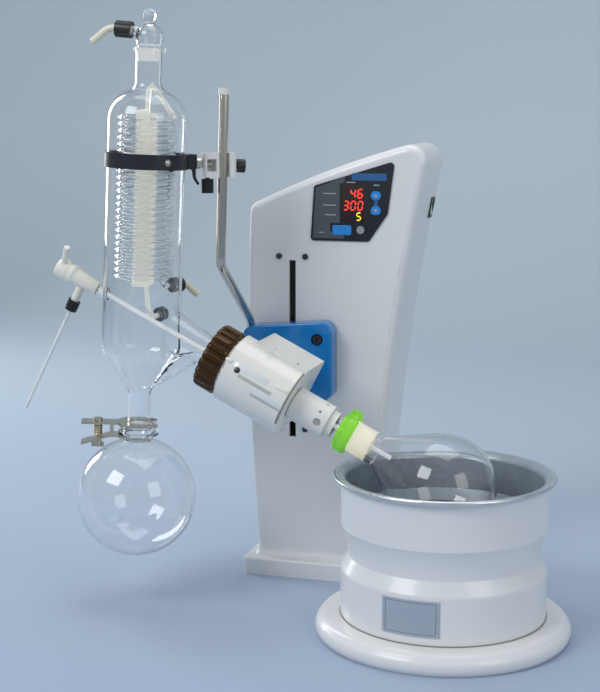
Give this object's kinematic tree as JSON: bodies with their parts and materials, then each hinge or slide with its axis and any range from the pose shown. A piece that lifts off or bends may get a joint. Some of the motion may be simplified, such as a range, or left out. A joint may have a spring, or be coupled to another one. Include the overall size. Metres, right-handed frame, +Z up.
{
  "type": "rotary evaporator",
  "caption": "Rotary evaporator: a lift tower carries a tilted hollow-shaft drive with a flask over a round heating bath and a leaning coil condenser with a receiving flask.",
  "frame": {"origin": "on the bench below the lift slot, in the plane of the tower's front face", "axes": "+X from the receiving flask to the bath, +Y to the back, +Z up"},
  "size_m": [0.6117, 0.3868, 0.6475],
  "materials": {
    "white_shell": "glossy white moulded housing",
    "ivory_housing": "glossy ivory moulded housing",
    "white_plastic": "semi-gloss white",
    "ptfe": "waxy white fluoropolymer",
    "ivory_nylon": "semi-matte ivory",
    "black_plastic": "moulded black",
    "black_band": "rubber-lined black band",
    "blue_plastic": "bright blue moulded",
    "key_blue": "blue keys",
    "key_grey": "grey key",
    "rocker_green": "green lens",
    "panel_film": "dark printed film, grey to black",
    "window_dark": "dark red display window",
    "steel": "polished and plated steel",
    "dark_steel": "blackened steel",
    "aluminium": "satin",
    "motor_metal": "dark painted metal",
    "pot_metal": "grey-blue coated pot with a bright rim",
    "rubber": "matt black",
    "green_clip": "translucent bright green",
    "clear_glass": "clear borosilicate glass"
  },
  "bodies": {
    "stand": {"tower_shell": "white_shell", "tower_back_cover": "white_shell", "tower_base": "white_shell", "slot_screws": "dark_steel", "power_inlet": "black_plastic", "control_panel": "panel_film", "display_window": "window_dark", "power_bezel": "black_plastic", "lift_shelves": "aluminium", "guide_rods": "steel", "lift_motor": "motor_metal", "bath_base_ring": "white_shell", "foot_pads": "rubber", "bath_shell": "white_shell", "bath_pot": "pot_metal", "bath_heater": "motor_metal", "bath_nameplate": "aluminium"},
    "lift_screw": {"lead_screw": "steel"},
    "carriage": {"lift_nut_block": "aluminium", "carriage_plate": "blue_plastic", "plate_screw": "dark_steel", "support_rod": "steel", "rod_cap": "white_plastic", "drive_bracket": "aluminium", "drive_housing": "ivory_housing", "shaft_bearings": "steel", "vacuum_seal": "ptfe", "drive_belt": "rubber", "drive_motor": "motor_metal", "condenser_shell": "clear_glass", "cooling_coil": "clear_glass", "vacuum_head": "clear_glass", "vacuum_nozzle": "ivory_nylon", "coolant_nozzles": "ivory_nylon", "screw_caps": "black_plastic", "feed_valve_body": "ptfe", "feed_tube": "ptfe", "inner_feed_tube": "ptfe", "condenser_strap": "black_band", "strap_stud": "steel", "boss_head": "white_plastic", "receiving_flask": "clear_glass", "joint_clamp": "steel"},
    "flask_rotor": {"hollow_shaft": "steel", "shaft_pulley": "aluminium", "neck_sleeve": "white_plastic", "vapour_duct": "clear_glass", "evaporating_flask": "clear_glass", "joint_clip": "green_clip"},
    "motor_rotor": {"motor_pulley": "aluminium"},
    "ring_nut_body": {"ring_nut": "black_plastic"},
    "feed_key_body": {"feed_key": "ptfe"},
    "side_knob": {"boss_side_knob": "black_plastic"},
    "under_knob": {"boss_under_knob": "black_plastic"},
    "clamp_screw_body": {"clamp_screw": "steel"},
    "up_key": {"button_up": "key_blue"},
    "down_key": {"button_down": "key_blue"},
    "set_key": {"button_set": "key_blue"},
    "mode_key": {"button_mode": "key_grey"},
    "power_key": {"power_rocker": "rocker_green"}
  },
  "joints": [
    {"name": "lift", "type": "slide", "parent": "stand", "child": "carriage", "axis": [0, 0, 1], "range_m": [-0.01, 0.09]},
    {"name": "lift_screw_turn", "type": "hinge", "parent": "stand", "child": "lift_screw", "pos_m": [0, 0.052, 0.2], "axis": [0, 0, 1], "range_deg": [-721, 6481]},
    {"name": "flask_spin", "type": "hinge", "parent": "carriage", "child": "flask_rotor", "pos_m": [0, -0.143, 0.259], "axis": [0.891, 0, -0.454], "continuous": true},
    {"name": "motor_spin", "type": "hinge", "parent": "carriage", "child": "motor_rotor", "pos_m": [0.00446, -0.1, 0.25673], "axis": [0.891, 0, -0.454], "continuous": true},
    {"name": "ring_nut_turn", "type": "hinge", "parent": "carriage", "child": "ring_nut_body", "pos_m": [-0.0401, -0.143, 0.27943], "axis": [0.891, 0, -0.454], "range_deg": [0, 360]},
    {"name": "feed_key_turn", "type": "hinge", "parent": "carriage", "child": "feed_key_body", "pos_m": [-0.2183, -0.143, 0.37023], "axis": [0.891, 0, -0.454], "range_deg": [0, 90]},
    {"name": "side_knob_turn", "type": "hinge", "parent": "carriage", "child": "side_knob", "pos_m": [-0.03618, -0.09671, 0.48311], "axis": [0.8725, 0.4837, -0.0685], "range_deg": [0, 360]},
    {"name": "under_knob_turn", "type": "hinge", "parent": "carriage", "child": "under_knob", "pos_m": [-0.06239, -0.11124, 0.471], "axis": [0, 0, -1], "range_deg": [0, 360]},
    {"name": "clamp_screw_turn", "type": "hinge", "parent": "carriage", "child": "clamp_screw_body", "pos_m": [-0.17474, -0.15948, 0.199], "axis": [0.0488, 0, 0.9988], "range_deg": [0, 360]},
    {"name": "up_press", "type": "slide", "parent": "stand", "child": "up_key", "axis": [0, 1, 0], "range_m": [0, 0.0008], "stiffness_N_per_m": 500},
    {"name": "down_press", "type": "slide", "parent": "stand", "child": "down_key", "axis": [0, 1, 0], "range_m": [0, 0.0008], "stiffness_N_per_m": 500},
    {"name": "set_press", "type": "slide", "parent": "stand", "child": "set_key", "axis": [0, 1, 0], "range_m": [0, 0.0008], "stiffness_N_per_m": 500},
    {"name": "mode_press", "type": "slide", "parent": "stand", "child": "mode_key", "axis": [0, 1, 0], "range_m": [0, 0.0008], "stiffness_N_per_m": 500},
    {"name": "power_rock", "type": "hinge", "parent": "stand", "child": "power_key", "pos_m": [0.14315, 0.082, 0.43022], "axis": [0, 1, 0], "range_deg": [0, 12]}
  ],
  "couplings": [
    {"joint": "lift_screw_turn", "follows": "lift", "rad_per_m": 1256.6},
    {"joint": "motor_spin", "follows": "flask_spin", "ratio": 3}
  ]
}
